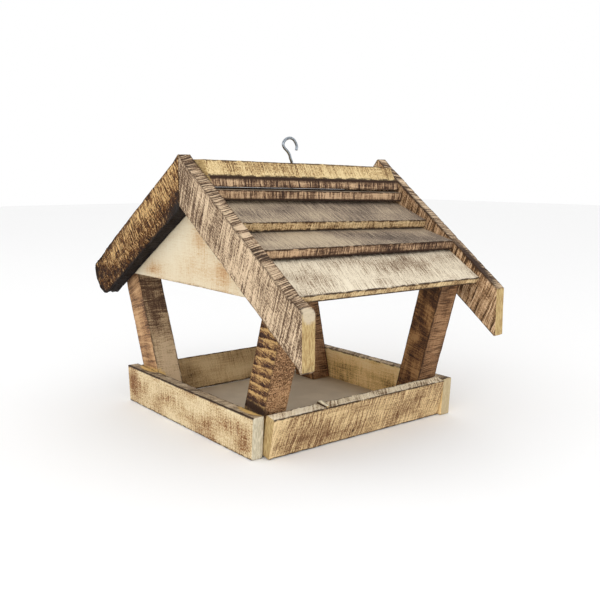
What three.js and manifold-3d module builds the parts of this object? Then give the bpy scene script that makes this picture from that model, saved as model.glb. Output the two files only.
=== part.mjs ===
import * as THREE from 'three';
import { mergeVertices } from 'three/addons/utils/BufferGeometryUtils.js';
import Module from 'manifold-3d';

// Hanging bird feeder of rough-sawn, scorched boards: a leaning four-post tray under a
// stepped gable roof, with a screw hook in the ridge. Millimetres, +Z up, ridge along Y,
// gables facing -Y and +Y. The origin is under the centre of the bounding box.

// Ridge and rafters
const RIDGE_X = 6.5;
const RIDGE_Z = 281;
const PEAK_RISE = 1.8; // the verge boards' upper ends stand a little proud of their slopes
const PEAK_RUN = 10;
const ROOF_NEAR_Y = -140.7;
const ROOF_FAR_Y = 140.7;
const NEAR_VERGE_T = 14.7;
const FAR_VERGE_T = 13.2;
const GAP = 0.35;

// Tray
const TRAY_H = 42;
const TRAY_NEAR_Y = -133.7;
const TRAY_FAR_Y = 124.3;
const TRAY_T = 13.2;
const FLOOR_TOP = 4.75;
const FLOOR_T = 3.8;

// Gable panels
const NEAR_GABLE_T = 5;
const FAR_GABLE_T = 6.4;
const GABLE_BOTTOM = 150.2;
const GABLE_APEX = 237.4;

// Hook
const WIRE_R = 1.55;
const HOOK_Y = 0;
const BORE_R = 1.9;

const INNER_NEAR = ROOF_NEAR_Y + NEAR_VERGE_T + GAP;
const INNER_FAR = ROOF_FAR_Y - FAR_VERGE_T - GAP;
const POST_NEAR_Y = TRAY_NEAR_Y + TRAY_T + 0.4;
const POST_FAR_Y = TRAY_FAR_Y - TRAY_T - 0.4;

const wasm = await Module();
wasm.setup();
const { Manifold, Mesh: SolidMesh } = wasm;

const group = new THREE.Group();

const WOOD = {
  honey: 0xc08a4e, tan: 0xb08a60, brown: 0x7d5a3c, dark: 0x4a3426, cream: 0xd9c19a,
  grey: 0xa39a86, gold: 0xc99a4a, panel: 0x9c917c,
};

function add(name, geometry, color, roughness = 0.9, metalness = 0) {
  const mesh = new THREE.Mesh(geometry, new THREE.MeshStandardMaterial({ color, roughness, metalness }));
  mesh.name = name;
  group.add(mesh);
}

// Repeatable value from 0 to 1 for station i of edge j on a board
function wear(i, j, seed) {
  const s = Math.sin(i * 12.9898 + j * 78.233 + seed * 37.719) * 43758.5453;
  return s - Math.floor(s);
}

function geometryOf(positions, indices) {
  const g = new THREE.BufferGeometry();
  g.setAttribute('position', new THREE.Float32BufferAttribute(positions, 3));
  g.setIndex(indices);
  g.computeVertexNormals();
  return g;
}

// A sawn board lofted between two four-cornered ends. Corners run anticlockwise when seen
// from beyond the end they belong to. `edge` is the width of the broken arrises and `rough`
// the depth of the wear on each of the four long edges.
function board(name, start, end, color, { edge = 0.8, rough = [0, 0, 0, 0], stations = 9, seed = 1 } = {}) {
  const positions = [];
  const indices = [];
  const ring = 8;
  const corner = new THREE.Vector3();
  for (let i = 0; i <= stations; i++) {
    const t = i / stations;
    const at = start.map((p, j) => new THREE.Vector3(...p).lerp(new THREE.Vector3(...end[j]), t));
    const middle = at.reduce((sum, p) => sum.add(p), new THREE.Vector3()).multiplyScalar(0.25);
    const worn = at.map((p, j) => {
      const inward = middle.clone().sub(p).normalize();
      const depth = i === 0 || i === stations ? 0 : rough[j] * wear(i, j, seed);
      return p.clone().addScaledVector(inward, depth);
    });
    worn.forEach((p, j) => {
      for (const side of [worn[(j + 3) % 4], worn[(j + 1) % 4]]) {
        corner.copy(side).sub(p).normalize().multiplyScalar(edge).add(p);
        positions.push(corner.x, corner.y, corner.z);
      }
    });
  }
  for (let i = 0; i < stations; i++) {
    for (let k = 0; k < ring; k++) {
      const a = i * ring + k;
      const b = i * ring + (k + 1) % ring;
      indices.push(a, b, b + ring, a, b + ring, a + ring);
    }
  }
  const last = stations * ring;
  for (let k = 1; k < ring - 1; k++) {
    indices.push(0, k + 1, k, last, last + k, last + k + 1);
  }
  const g = geometryOf(positions, indices);
  if (color !== null) add(name, g, color);
  return g;
}

// Plate cut to an outline in the XZ plane, with its faces at y0 and y1
function plate(name, outline, y0, y1, color, bevel = 0.7) {
  const shape = new THREE.Shape(outline.map(([x, z]) => new THREE.Vector2(x, z)));
  const g = new THREE.ExtrudeGeometry(shape, {
    depth: y1 - y0 - 2 * bevel, bevelEnabled: true, bevelSize: bevel, bevelOffset: -bevel,
    bevelThickness: bevel, bevelSegments: 1, steps: 1, curveSegments: 4,
  });
  g.rotateX(Math.PI / 2);
  g.translate(0, y1 - bevel, 0);
  add(name, g, color);
}

function solidOf(geometry) {
  const g = geometry.clone();
  g.deleteAttribute('normal');
  g.deleteAttribute('uv');
  const m = mergeVertices(g, 1e-4);
  return new Manifold(new SolidMesh({
    numProp: 3,
    vertProperties: new Float32Array(m.attributes.position.array),
    triVerts: new Uint32Array(m.index.array),
  }));
}

function geometryOfSolid(solid) {
  const m = solid.getMesh();
  return geometryOf(Array.from(m.vertProperties), Array.from(m.triVerts));
}

// Board section in the XZ plane run along Y: [upper left, upper right, lower right, lower left]
function alongY(name, near, far, y0, y1, color, options) {
  return board(name, near.map(([x, z]) => [x, y0, z]), far.map(([x, z]) => [x, y1, z]), color, options);
}

// --- Tray -------------------------------------------------------------------------------
const flat = (y0, y1, z) => (x) => [[x, y1, z[1]], [x, y0, z[1]], [x, y0, z[0]], [x, y1, z[0]]];

function gableBoard(name, xBottom, xTop, y0, y1, color, seed) {
  const end = (i) => [[xTop[i], y1, TRAY_H], [xTop[i], y0, TRAY_H], [xBottom[i], y0, 0], [xBottom[i], y1, 0]];
  board(name, end(0), end(1), color, { rough: [0.5, 0.6, 0, 0], stations: 11, seed });
}
gableBoard('tray_board_front', [-132.2, 119.4], [-135.1, 122.3],
  TRAY_NEAR_Y, TRAY_NEAR_Y + TRAY_T, WOOD.cream, 3);
gableBoard('tray_board_back', [-129.1, 132.2], [-132, 134.9],
  TRAY_FAR_Y - TRAY_T, TRAY_FAR_Y, WOOD.gold, 4);

// Side boards lean outward: foot is the outer lower corner, lean in radians from upright
function sideBoard(name, side, foot, lean, height, thickness, color, rough, seed) {
  const up = [side * Math.sin(lean), Math.cos(lean)];
  const inward = [-side * Math.cos(lean), Math.sin(lean)];
  const p = (a, b) => [foot[0] + up[0] * a + inward[0] * b, foot[1] + up[1] * a + inward[1] * b];
  const section = side > 0
    ? [p(height, thickness), p(height, 0), p(0, 0), p(0, thickness)]
    : [p(height, 0), p(height, thickness), p(0, thickness), p(0, 0)];
  const y0 = TRAY_NEAR_Y + TRAY_T + GAP;
  const y1 = TRAY_FAR_Y - TRAY_T - GAP;
  alongY(name, section, section, y0, y1, color, { rough, stations: 12, seed });
}
sideBoard('tray_board_right', 1, [128.1, 0], 0.215, 42, 13.3, WOOD.tan, [0.4, 0.6, 0.9, 0], 5);
sideBoard('tray_board_left', -1, [-122.2, 0.8], 0.375, 40, 13, WOOD.brown, [0.6, 0.5, 0, 0.8], 6);

const floorEnd = flat(
  TRAY_NEAR_Y + TRAY_T + 0.5, TRAY_FAR_Y - TRAY_T - 0.5, [FLOOR_TOP - FLOOR_T, FLOOR_TOP]);
board('tray_floor', floorEnd(-111.2), floorEnd(114.7), WOOD.panel, { edge: 0.3, stations: 1 });

// --- Roof deck --------------------------------------------------------------------------
// Each slat: run and height of its upper and lower top corners at the far gable, how much
// higher each corner sits at the near gable, and the thickness
const SLATS = [
  { name: 'slat_eave', up: [113.8, 184], low: [159.8, 156], rise: [4, 1.9], t: 8.2, color: WOOD.cream },
  { name: 'slat_middle', up: [66, 206.6], low: [122.7, 192.5], rise: [5.4, 3.8], t: 9.8, color: WOOD.grey },
  { name: 'slat_upper', up: [27, 233.9], low: [82.7, 212.8], rise: [5.8, 5.8], t: 9.4, color: WOOD.grey },
  { name: 'slat_ridge', up: [25.5, 244.3], low: [43, 242.6], rise: [5.8, 5.8], t: 10.2, color: WOOD.brown },
];
const NEAR_RISE = 5.8;
const LEFT_RUN = 1.09;
const LEFT_RISE = 0.025;

// Section of a slat, from 0 at the far gable to 1 at the near one
function slatSection(slat, side, near) {
  const place = ([run, z], rise) => (side > 0
    ? [run, z + rise * near] : [run * LEFT_RUN, z + LEFT_RISE * run + rise * near]);
  const [r1, z1] = place(slat.up, slat.rise[0]);
  const [r2, z2] = place(slat.low, slat.rise[1]);
  const slope = Math.atan2(z1 - z2, r2 - r1);
  const down = [-slat.t * Math.sin(slope), -slat.t * Math.cos(slope)];
  const section = [[r1, z1], [r2, z2], [r2 + down[0], z2 + down[1]], [r1 + down[0], z1 + down[1]]];
  if (side > 0) return section.map(([r, z]) => [RIDGE_X + r, z]);
  return [section[1], section[0], section[3], section[2]].map(([r, z]) => [RIDGE_X - r, z]);
}

for (const [side, word] of [[1, 'right'], [-1, 'left']]) {
  SLATS.forEach((slat, i) => {
    const near = slatSection(slat, side, 1);
    const far = slatSection(slat, side, 0);
    const lower = side > 0 ? 1 : 0;
    const rough = [0.3, 0.3, 0.3, 0.3];
    rough[lower] = 0.9;
    alongY(`${slat.name}_${word}`, near, far, INNER_NEAR, INNER_FAR, slat.color,
      { rough, edge: 0.9, stations: 12, seed: 11 + i + (side > 0 ? 0 : 7) });
  });
}

// Height of the underside of the eave slats, for the post heads
function underDeck(x, y) {
  const side = x > RIDGE_X ? 1 : -1;
  const s = slatSection(SLATS[0], side, (INNER_FAR - y) / (INNER_FAR - INNER_NEAR));
  const [a, b] = [s[2], s[3]];
  return a[1] + (b[1] - a[1]) * (x - a[0]) / (b[0] - a[0]);
}

// --- Ridge boards, bored for the hook ------------------------------------------------------
function ridgeBoard(name, halfTop, halfBottom, zTop, zBottom, color, options) {
  const at = (rise) => [
    [RIDGE_X - halfTop, zTop + rise], [RIDGE_X + halfTop, zTop + rise],
    [RIDGE_X + halfBottom, zBottom + rise], [RIDGE_X - halfBottom, zBottom + rise],
  ];
  const g = alongY(name, at(NEAR_RISE), at(0), INNER_NEAR, INNER_FAR, null, options);
  const bore = Manifold.cylinder(60, BORE_R, BORE_R, 24).translate([RIDGE_X, HOOK_Y, 230]);
  add(name, geometryOfSolid(solidOf(g).subtract(bore)), color);
}
ridgeBoard('ridge_base', 36, 37.6, 255.5, 245.3, WOOD.brown,
  { rough: [0.4, 0.4, 0.3, 0.3], stations: 10, seed: 31 });
ridgeBoard('ridge_cap', 22.4, 32.6, 271.8, 255.9, WOOD.gold,
  { rough: [1, 1, 0.5, 0.5], stations: 14, seed: 32 });

// --- Verge boards -------------------------------------------------------------------------
// Two per gable, meeting in a plumb joint at the peak. `nose` is the cut end at the eaves,
// from the top edge down, as [run from the ridge, height]; `heel` is where the lower edge starts.
function verge(name, side, slope, width, [y0, y1], color, seed, nose, options = {}) {
  const { heel = 0, step = 13, depth = 0.9 } = options;
  const fall = Math.tan(slope);
  const drop = width / Math.cos(slope);
  const edgePoints = (from, to, below, j) => {
    const n = Math.round(Math.abs(to - from) / step);
    return Array.from({ length: n + 1 }, (_, i) => {
      const run = from + (to - from) * i / n;
      const worn = i > 0 && i < n ? depth * wear(i, j, seed) : 0;
      const peak = below ? 0 : PEAK_RISE * Math.max(0, 1 - run / PEAK_RUN);
      return [run, RIDGE_Z - fall * run - below + peak + (below ? worn : -worn)];
    });
  };
  const joint = GAP / 2;
  const heelRun = heel || nose[nose.length - 1][0] - 2;
  const outline = [
    ...edgePoints(joint, nose[0][0] - 3, 0, 1), ...nose, ...edgePoints(heelRun, joint, drop, 2),
  ].map(([run, z]) => [RIDGE_X + side * run, z]);
  plate(name, side > 0 ? outline : outline.reverse(), y0, y1, color);
}
const deg = (a) => a * Math.PI / 180;
const NEAR = [ROOF_NEAR_Y, ROOF_NEAR_Y + NEAR_VERGE_T];
const FAR = [ROOF_FAR_Y - FAR_VERGE_T, ROOF_FAR_Y];
verge('verge_front_right', 1, deg(33.7), 41.6, NEAR, WOOD.honey, 41,
  [[178, 161.8], [194.2, 154.6], [196.8, 151], [196.8, 101.4], [194.2, 98.9]]);
verge('verge_front_left', -1, deg(30.5), 46.4, NEAR, WOOD.honey, 42,
  [[205.5, 159.4], [209.8, 153], [206.4, 137], [198, 127.5], [188, 121.8], [177, 122.6]],
  { heel: 168, step: 9, depth: 1.6 });
verge('verge_back_right', 1, deg(36.2), 43.3, FAR, WOOD.gold, 43,
  [[174.5, 152.6], [181.6, 146.8], [181.6, 97], [179.6, 95.4]]);
verge('verge_back_left', -1, deg(31.8), 44, FAR, WOOD.honey, 44,
  [[192, 161.6], [201, 156.6], [203, 153.5], [203, 107], [200, 104.8]], { depth: 1.4 });

// --- Gable panels -------------------------------------------------------------------------
function gable(name, y0, y1, rise, color) {
  const fallRight = 0.667;
  const fallLeft = 0.59;
  const apex = GABLE_APEX + rise;
  plate(name, [
    [RIDGE_X - (apex - GABLE_BOTTOM - 3) / fallLeft, GABLE_BOTTOM],
    [RIDGE_X - (apex - GABLE_BOTTOM - 3) / fallLeft, GABLE_BOTTOM + 3],
    [RIDGE_X, apex],
    [RIDGE_X + (apex - GABLE_BOTTOM - 3) / fallRight, GABLE_BOTTOM + 3],
    [RIDGE_X + (apex - GABLE_BOTTOM - 3) / fallRight, GABLE_BOTTOM],
  ].reverse(), y0, y1, color, 0.5);
}
gable('gable_front', POST_NEAR_Y - GAP - NEAR_GABLE_T, POST_NEAR_Y - GAP, NEAR_RISE - 0.4, WOOD.cream);
gable('gable_back', POST_FAR_Y + GAP, POST_FAR_Y + GAP + FAR_GABLE_T, 0, WOOD.tan);

// --- Posts --------------------------------------------------------------------------------
// Faces given by x at the tray rim; lean is the outward run per unit of height
function post(name, inner, outer, leanX, y0, y1, color, seed) {
  const x = (rim, z) => rim + leanX * (z - TRAY_H);
  const foot = FLOOR_TOP + 0.4;
  const head = (rim) => {
    let z = 160;
    for (let i = 0; i < 12; i++) z = Math.min(underDeck(x(rim, z), y0), underDeck(x(rim, z), y1)) - 0.5;
    return z;
  };
  const [west, east] = inner < outer ? [inner, outer] : [outer, inner];
  const at = (zw, ze) => [
    [x(west, zw), y0, zw], [x(east, ze), y0, ze], [x(east, ze), y1, ze], [x(west, zw), y1, zw],
  ];
  board(name, at(foot, foot), at(head(west), head(east)), color,
    { edge: 1, rough: [0.5, 0.5, 0.5, 0.5], stations: 10, seed });
}
post('post_front_right', 87.1, 119.7, 0.33, POST_NEAR_Y, POST_NEAR_Y + 27.4, WOOD.honey, 51);
post('post_front_left', -86.5, -122.9, -0.4, POST_NEAR_Y, POST_NEAR_Y + 28.9, WOOD.honey, 52);
post('post_back_right', 92.3, 122.8, 0.28, POST_FAR_Y - 27.6, POST_FAR_Y, WOOD.dark, 53);
post('post_back_left', -65.8, -101.8, -0.25, POST_FAR_Y - 28, POST_FAR_Y, WOOD.brown, 54);

// --- Screw hook ---------------------------------------------------------------------------
// Round wire swept along a line in the ridge plane, with rounded free end
function hook() {
  const base = 273.6;
  const line = [
    [0, -3], [-0.2, 2], [-2.2, 6.5], [-3.4, 10.2], [-6.4, 14], [-10.2, 17.3], [-11.9, 20.9], [-10.4, 24.4],
    [-6.6, 27.2], [-1.8, 27.9], [2.4, 26.2], [5.4, 22.4], [6.6, 18.6], [5.9, 15.4],
  ];
  const curve = new THREE.CatmullRomCurve3(
    line.map(([y, z]) => new THREE.Vector3(RIDGE_X, HOOK_Y + y, base + z)), false, 'centripetal');
  const sides = 16;
  const steps = 56;
  const positions = [];
  const indices = [];
  const across = new THREE.Vector3(1, 0, 0);
  const ringAt = (centre, tangent, radius) => {
    const other = new THREE.Vector3().crossVectors(tangent, across).normalize();
    for (let k = 0; k < sides; k++) {
      const a = 2 * Math.PI * k / sides;
      const p = centre.clone().addScaledVector(across, radius * Math.cos(a))
        .addScaledVector(other, radius * Math.sin(a));
      positions.push(p.x, p.y, p.z);
    }
  };
  // Screw shank: a point, then thread crests and roots up to the plain wire
  const up = new THREE.Vector3(0, 0, 1);
  const screwBottom = base - 30;
  let rings = 0;
  const shank = [[0, 0.15], [4, 1.15]];
  for (let z = 5; z < 23; z += 1.6) shank.push([z, 1.5], [z + 0.8, 1.15]);
  for (const [z, r] of shank) {
    ringAt(new THREE.Vector3(RIDGE_X, HOOK_Y, screwBottom + z), up, r);
    rings++;
  }
  for (let i = 0; i <= steps; i++) {
    ringAt(curve.getPointAt(i / steps), curve.getTangentAt(i / steps), WIRE_R);
    rings++;
  }
  const tip = curve.getPointAt(1);
  const way = curve.getTangentAt(1);
  for (const a of [0.45, 0.9]) {
    ringAt(tip.clone().addScaledVector(way, WIRE_R * Math.sin(a)), way, WIRE_R * Math.cos(a));
    rings++;
  }
  for (let i = 0; i < rings - 1; i++) {
    for (let k = 0; k < sides; k++) {
      const a = i * sides + k;
      const b = i * sides + (k + 1) % sides;
      indices.push(a, b, b + sides, a, b + sides, a + sides);
    }
  }
  const last = (rings - 1) * sides;
  for (let k = 1; k < sides - 1; k++) {
    indices.push(0, k + 1, k, last, last + k, last + k + 1);
  }
  add('screw_hook', geometryOf(positions, indices), 0xb9bcbf, 0.3, 1);
}
hook();

export default group;
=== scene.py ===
import math

import bpy
import numpy as np
from mathutils import Matrix, Vector


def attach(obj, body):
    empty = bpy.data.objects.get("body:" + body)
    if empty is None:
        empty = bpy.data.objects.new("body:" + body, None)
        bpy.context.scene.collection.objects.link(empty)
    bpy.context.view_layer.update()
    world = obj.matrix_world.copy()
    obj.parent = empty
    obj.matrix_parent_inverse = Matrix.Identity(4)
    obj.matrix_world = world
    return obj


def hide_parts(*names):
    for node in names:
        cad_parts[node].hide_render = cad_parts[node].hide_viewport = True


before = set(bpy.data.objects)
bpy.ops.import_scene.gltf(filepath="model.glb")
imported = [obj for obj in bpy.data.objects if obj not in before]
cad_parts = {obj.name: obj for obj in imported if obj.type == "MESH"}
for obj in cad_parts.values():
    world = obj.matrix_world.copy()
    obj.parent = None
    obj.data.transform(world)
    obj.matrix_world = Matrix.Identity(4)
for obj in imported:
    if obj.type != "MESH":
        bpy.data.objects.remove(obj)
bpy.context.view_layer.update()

# Every board of the CAD part is made again as a dense rough-sawn mesh, in millimetres in the row
# frame, and the hook as threaded wire. Names ending in NEAR lie towards -Y, in FAR towards +Y.
MM = 0.001

# --- Dimensions in millimetres, as in the CAD part ------------------------------------------
RIDGE_X, RIDGE_Z = 6.5, 281.0
PEAK_RISE, PEAK_RUN = 1.8, 10.0
ROOF_NEAR, ROOF_FAR, GAP = -140.7, 140.7, 0.35
NEAR_VERGE_T, FAR_VERGE_T, HEEL_BACK = 14.7, 13.2, 2
TRAY_H, TRAY_NEAR, TRAY_FAR, TRAY_T = 42.0, -133.7, 124.3, 13.2
FLOOR_X, FLOOR_Y, FLOOR_TOP, FLOOR_T = (-111.2, 114.7), (-120.0, 110.6), 4.75, 3.8
POST_GAP, HEAD_GAP = 0.4, 0.5
INNER_NEAR, INNER_FAR = ROOF_NEAR + NEAR_VERGE_T + GAP, ROOF_FAR - FAR_VERGE_T - GAP
POST_NEAR, POST_FAR = TRAY_NEAR + TRAY_T + POST_GAP, TRAY_FAR - TRAY_T - POST_GAP
NEAR_RISE, LEFT_RUN, LEFT_RISE = 5.8, 1.09, 0.025
NEAR_GABLE_T, FAR_GABLE_T, GABLE_BOTTOM, GABLE_APEX = 5.0, 6.4, 150.2, 237.4
GABLE_FALL_RIGHT, GABLE_FALL_LEFT, GABLE_END_H = 0.667, 0.59, 3
HOOK_BASE, WIRE_R, THREAD_BOTTOM, THREAD_PITCH = 273.6, 1.55, -30.0, 1.5


# --- Repeatable noise -----------------------------------------------------------------------
def lattice(ix, iy, iz, seed):
    """Hash of whole-number places to numbers from 0 to 1."""
    u = np.uint32
    h = (ix.astype(u) * u(374761393) + iy.astype(u) * u(668265263) + iz.astype(u) * u(2246822519)
         + u((seed * 3266489917) & 0xFFFFFFFF))
    h = (h ^ (h >> u(13))) * u(1274126177)
    return (h ^ (h >> u(16))).astype(float) / 4294967296.0


def noise(p, seed):
    """Smooth value noise from -1 to 1 at the rows of p."""
    base = np.floor(p)
    f = p - base
    f = f * f * (3 - 2 * f)
    i = base.astype(np.int64)
    total = np.zeros(len(p))
    for dx in (0, 1):
        for dy in (0, 1):
            for dz in (0, 1):
                w = 1.0
                for k, upper in enumerate((dx, dy, dz)):
                    w = w * (f[:, k] if upper else 1 - f[:, k])
                total += w * lattice(i[:, 0] + dx, i[:, 1] + dy, i[:, 2] + dz, seed)
    return total * 2 - 1


def fbm(p, seed, octaves=3):
    """Several octaves of noise, from about -1 to 1."""
    total, amount = np.zeros(len(p)), 1.0
    for k in range(octaves):
        total += amount * noise(p * 2.0 ** k, seed + 17 * k)
        amount *= 0.5
    return total / (2 - 2 * amount)


# --- Board meshes ---------------------------------------------------------------------------
def stations(length, step, r):
    """Positions along one axis of a board, close together where its arrises are rounded."""
    n = max(2, round((length - 2 * r) / step))
    near = r * np.array([0.0, 0.3, 0.62])
    return np.concatenate([near, np.linspace(r, length - r, n + 1), length - near[::-1]])


def shell(nx, ny, nz):
    """Grid places of the outer shell of a block, and the quads between them."""
    on = np.zeros((nx, ny, nz), bool)
    on[[0, -1]] = on[:, [0, -1]] = on[:, :, [0, -1]] = True
    index = np.full((nx, ny, nz), -1)
    index[on] = np.arange(on.sum())
    quads = []
    for axis in range(3):
        for end, flip in ((0, True), (-1, False)):
            s = np.take(index, end, axis)
            q = np.stack([s[:-1, :-1], s[1:, :-1], s[1:, 1:], s[:-1, 1:]], -1).reshape(-1, 4)
            quads.append(q[:, ::-1] if flip != (axis == 1) else q)
    return np.argwhere(on), np.concatenate(quads)


SEED_SHIFT = np.array([131.7, 57.3, 23.9])
ARRIS_REACH = 1.5


def blob(p, spot):
    """One soft blob, given as (centre, reach, amount), at the rows of p."""
    centre, reach, amount = spot
    d = (p - np.array(centre, float)) / np.array(reach, float)
    return amount * np.exp(-(d ** 2).sum(1))


def quad_mesh(name, points, quads):
    """Smooth mesh of quads, turned so that its faces look outward."""
    a, b, c, d = (points[quads[:, k]] for k in range(4))
    volume = np.einsum("ij,ij->", (a + b + c + d) / 4, np.cross(c - a, d - b))
    if volume < 0:
        quads = quads[:, ::-1]
    mesh = bpy.data.meshes.new(name)
    mesh.vertices.add(len(points))
    mesh.vertices.foreach_set("co", points.astype(np.float32).ravel())
    mesh.loops.add(quads.size)
    mesh.loops.foreach_set("vertex_index", quads.astype(np.int32).ravel())
    mesh.polygons.add(len(quads))
    mesh.polygons.foreach_set("loop_start", np.arange(0, quads.size, 4, dtype=np.int32))
    mesh.polygons.foreach_set("use_smooth", np.ones(len(quads), bool))
    mesh.update(calc_edges=True)
    mesh.validate()
    return mesh


def board(name, size, place, seed, node=None, slot="roof_slat", step=(1.9, 1.6, 1.6), r=0.8,
          saw=(0.22, 5.5, 0.0), rough=0.12, wave=0.35, chips=0.5, bark=None, bands=None, tight=(),
          marks=(), char=(), pale=(), shade=(), coords=None, material=None):
    """A rough-sawn board as a closed dense mesh. Local x runs along the grain, y across the
    board and z through it, out to its outer face; place() takes local millimetres to the row
    frame. All wear cuts inward, and less on the faces named in tight, as (axis, sign).
    saw is (depth, pitch, slant) of the saw marks. bands is (pitch, rise, depth, tone) of
    saw-tooth steps up the outer face; its tone is painted shade in the hollow of each step and
    painted light on its crest. marks are dents, as (x, y, radius, depth). The char, pale and shade
    blob lists are painted into attributes that the material reads: the char blobs hold char, and
    on some boards painted shadow; the shade blobs hold scorch patches, and on some boards painted
    shade and painted light."""
    size = np.array(size, float)
    axes = [stations(size[k], step[k], r) for k in range(3)]
    places, quads = shell(*(len(a) for a in axes))
    p = np.stack([axes[k][places[:, k]] for k in range(3)], -1)
    core = np.clip(p, r, size - r)
    out = p - core
    out /= np.linalg.norm(out, axis=1, keepdims=True)
    p = core + r * out
    shift = SEED_SHIFT * seed
    q = p + shift
    edge = np.minimum(p, size - p)
    arris = np.exp(-(edge[:, 1] + edge[:, 2]) / ARRIS_REACH)
    end = np.clip((np.abs(out[:, 0]) - 0.55) / 0.3, 0, 1)
    side = np.clip((np.abs(out[:, 1]) - 0.5) / 0.3, 0, 1) * (1 - end)
    depth_saw, pitch, slant = saw
    s = p[:, 0] * math.cos(slant) + p[:, 1] * math.sin(slant) + 1.6 * noise(q * 0.045, seed)
    line = np.stack([s / pitch, np.full(len(s), seed * 3.1), np.zeros(len(s))], -1)
    cut = depth_saw * (0.55 + 0.45 * noise(line, seed + 5)) * (1 - end)
    cut += rough * (0.5 + 0.5 * fbm(q * np.array([0.28, 0.45, 0.45]), seed + 9, 2))
    cut += wave * (0.5 + 0.5 * noise(q * np.array([0.022, 0.03, 0.03]), seed + 2))
    worn = np.clip(noise(q * np.array([0.09, 0.05, 0.05]), seed + 3) - 0.1, 0, 1)
    nick = np.clip(noise(q * np.array([0.34, 0.2, 0.2]), seed + 4) - 0.42, 0, 1)
    cut += chips * arris * (1.1 * worn + 2.6 * nick)
    if bark is not None:
        cut += bark(p, q, out)
    for x, y, radius, deep in marks:
        d2 = (p[:, 0] - x) ** 2 + (p[:, 1] - y) ** 2
        cut += deep * np.exp(-d2 / radius ** 2) * (out[:, 2] > 0.5)
    relief_shading = 0.0
    if bands:
        band_pitch, band_rise, band_depth, relief_shade = bands
        spot = place(p[:, 0], p[:, 1], p[:, 2])
        sway = 1.2 * noise(q * np.array([0.03, 0.05, 0.05]), seed + 6)
        up = ((spot[:, 2] - band_rise * spot[:, 0] + sway) / band_pitch) % 1.0
        on_face = np.clip(out[:, 2] * 2 - 0.6, 0, 1)
        cut += band_depth * (1 - up) * np.clip(out[:, 2] * 2, 0, 1)
        # The tone follows the cut: painted shade in the hollow of each step and painted light on its
        # crest, and a little lighter towards one long edge of the face.
        relief_shading = relief_shade * (2 * up ** 1.3 - 0.95 + 0.5 * (p[:, 1] / size[1] - 0.5)) * on_face
    for axis, sign in tight:
        cut *= 1 - 0.9 * np.clip(sign * out[:, axis] * 2 - 0.6, 0, 1)
    p = p - out * cut[:, None]
    world = place(p[:, 0], p[:, 1], p[:, 2]) * MM
    mesh = quad_mesh(name, world, quads)
    wood = (coords(p[:, 0], p[:, 1], p[:, 2]) if coords else p) + shift
    for key, spots in (("char", char), ("pale", pale)):
        painted = np.zeros(len(p))
        for spot in spots:
            painted = np.maximum(painted, blob(p, spot))
        attribute(mesh, key, painted)
    tint = np.zeros(len(p)) + relief_shading
    for spot in shade:
        tint += blob(p, spot)
    attribute(mesh, "shade", tint)
    attribute(mesh, "arris", arris)
    attribute(mesh, "end", end)
    attribute(mesh, "side", side)
    layer = mesh.attributes.new("wood", "FLOAT_VECTOR", "POINT")
    layer.data.foreach_set("vector", wood.astype(np.float32).ravel())
    obj = bpy.data.objects.new(name, mesh)
    bpy.context.collection.objects.link(obj)
    mesh.materials.append(material)
    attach(obj, "root")
    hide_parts(node or name)
    return obj


def attribute(mesh, name, values):
    """Store one number per vertex, for the material to read."""
    layer = mesh.attributes.new(name, "FLOAT", "POINT")
    layer.data.foreach_set("value", np.asarray(values, np.float32))


def block(corners, size):
    """place() for a board between eight corners, indexed [x end][y side][z face]."""
    c = np.array(corners, float)

    def place(x, y, z):
        a, b, g = x / size[0], y / size[1], z / size[2]
        total = 0
        for i, wa in ((0, 1 - a), (1, a)):
            for j, wb in ((0, 1 - b), (1, b)):
                for k, wc in ((0, 1 - g), (1, g)):
                    total = total + (wa * wb * wc)[:, None] * c[i, j, k]
        return total
    return place


def run_along_y(section_near, section_far, y0, y1):
    """Corners of a board along Y, from a section at each end. A section is the lower and the
    upper edge, each as its back and its outer corner."""
    def end(section, y):
        (a, b), (c, d) = section
        return [[(a[0], y, a[1]), (b[0], y, b[1])], [(c[0], y, c[1]), (d[0], y, d[1])]]
    return [end(section_near, y0), end(section_far, y1)]


# --- Materials --------------------------------------------------------------------------------
def tone(r, g, b):
    """Scene colour of a screen colour given from 0 to 255."""
    linear = [((v / 255 + 0.055) / 1.055) ** 2.4 if v > 10 else v / 3294.6 for v in (r, g, b)]
    return (*linear, 1.0)


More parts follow.
